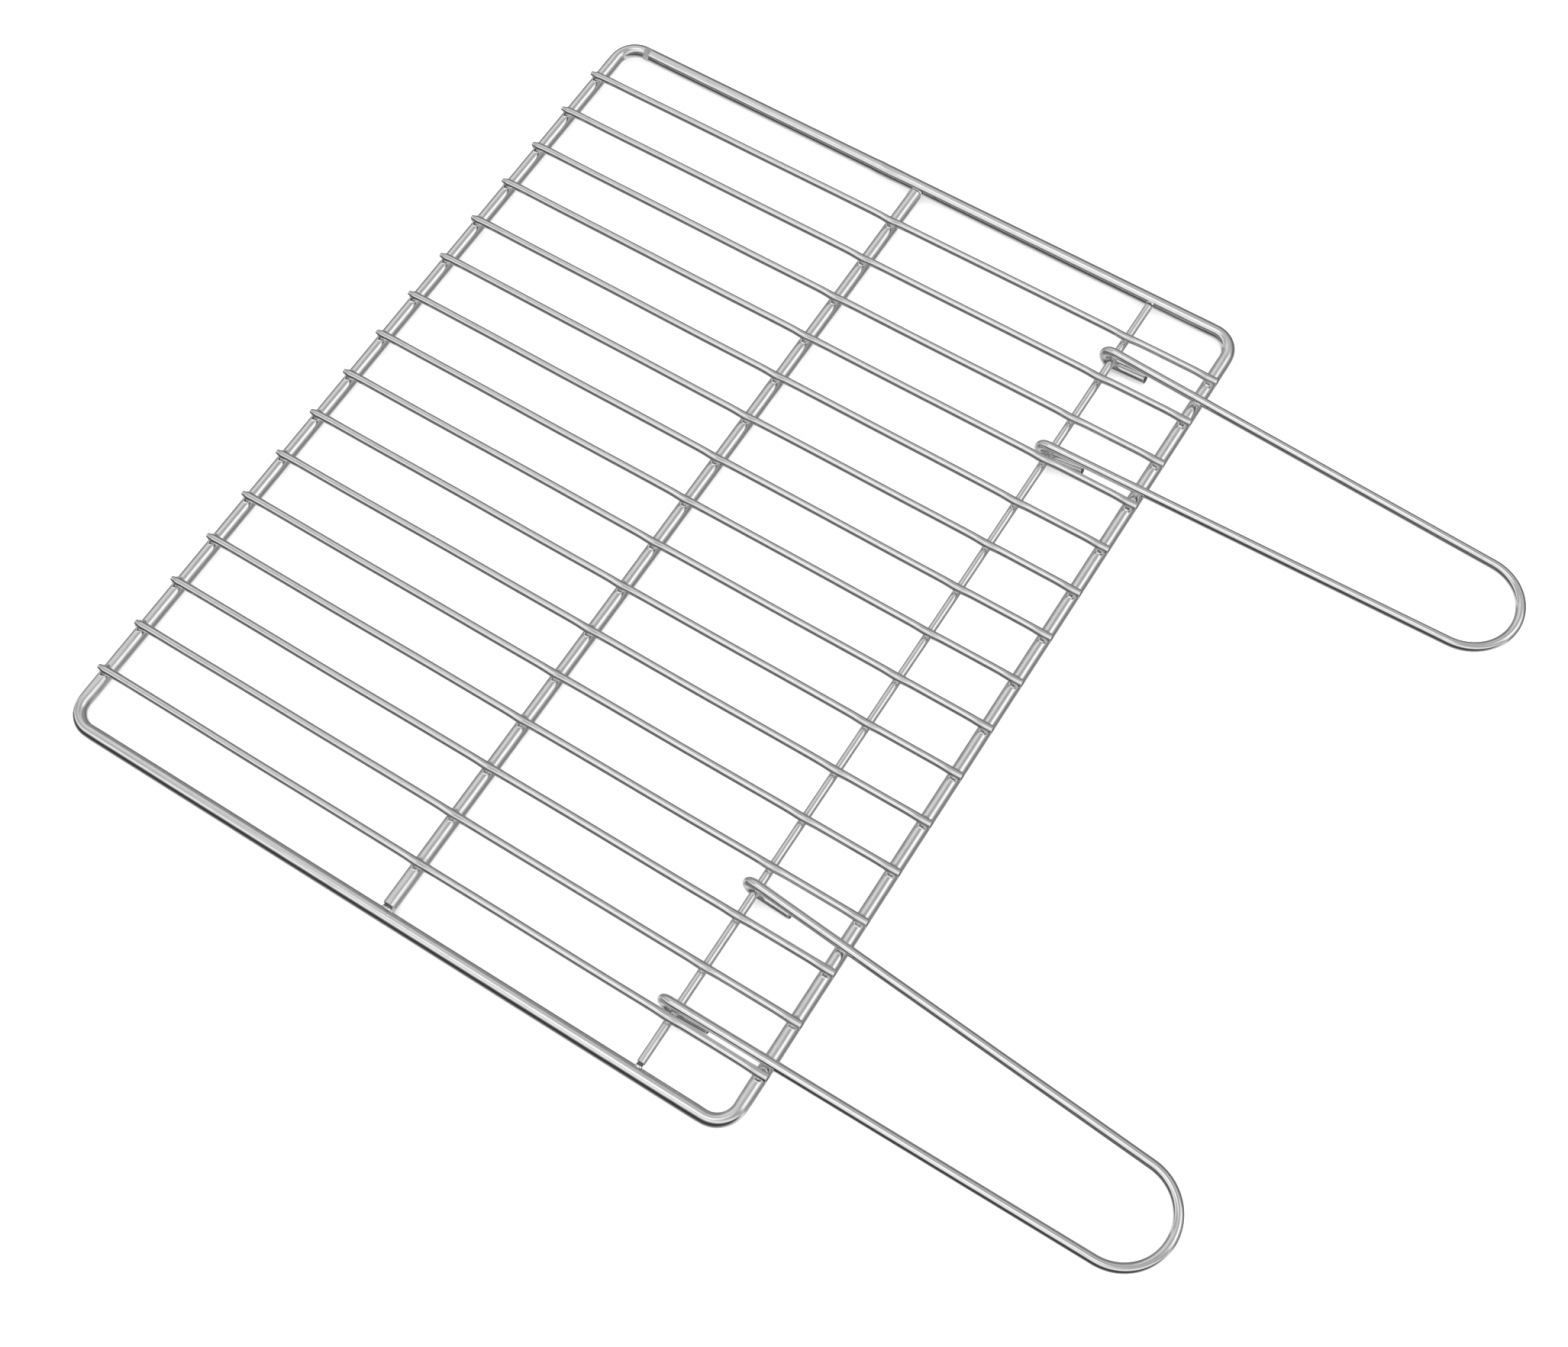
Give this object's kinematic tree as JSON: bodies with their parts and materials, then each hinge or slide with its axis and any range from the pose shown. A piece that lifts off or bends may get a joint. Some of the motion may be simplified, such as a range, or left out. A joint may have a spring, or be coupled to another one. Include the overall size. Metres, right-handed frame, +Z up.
{
  "type": "grill grate",
  "caption": "Flat wire barbecue grate: rounded rod frame, middle crossbar and parallel food wires, with two loop handles hooked round a rod so they fold up over the grate.",
  "frame": {"origin": "centre of the whole part's outline in X and Y, on the plane that the undersides of the handles' hooks touch", "axes": "+Z up, out of the cooking side; +X along the grate's long sides, to the right of someone holding the handles; +Y away from the handles"},
  "size_m": [0.406, 0.4766, 0.0132],
  "materials": {
    "frame_rod": "bright chromed steel rod with a weld on one side",
    "grate_wire": "bright chromed drawn steel wire, spot welded",
    "handle_wire": "bright chromed steel wire, bent cold"
  },
  "bodies": {
    "grate": {"outer_frame": "frame_rod", "middle_crossbar": "frame_rod", "hinge_rod": "grate_wire", "grate_wire_01": "grate_wire", "grate_wire_02": "grate_wire", "grate_wire_03": "grate_wire", "grate_wire_04": "grate_wire", "grate_wire_05": "grate_wire", "grate_wire_06": "grate_wire", "grate_wire_07": "grate_wire", "grate_wire_08": "grate_wire", "grate_wire_09": "grate_wire", "grate_wire_10": "grate_wire", "grate_wire_11": "grate_wire", "grate_wire_12": "grate_wire", "grate_wire_13": "grate_wire", "grate_wire_14": "grate_wire", "grate_wire_15": "grate_wire", "grate_wire_16": "grate_wire"},
    "left_handle_body": {"left_handle": "handle_wire"},
    "right_handle_body": {"right_handle": "handle_wire"}
  },
  "joints": [
    {"name": "left_handle_fold", "type": "hinge", "parent": "grate", "child": "left_handle_body", "pos_m": [-0.1436, -0.03878, 0.00695], "axis": [-1, 0, 0], "range_deg": [0, 172]},
    {"name": "right_handle_fold", "type": "hinge", "parent": "grate", "child": "right_handle_body", "pos_m": [0.1377, -0.03878, 0.00695], "axis": [-1, 0, 0], "range_deg": [0, 172]}
  ]
}
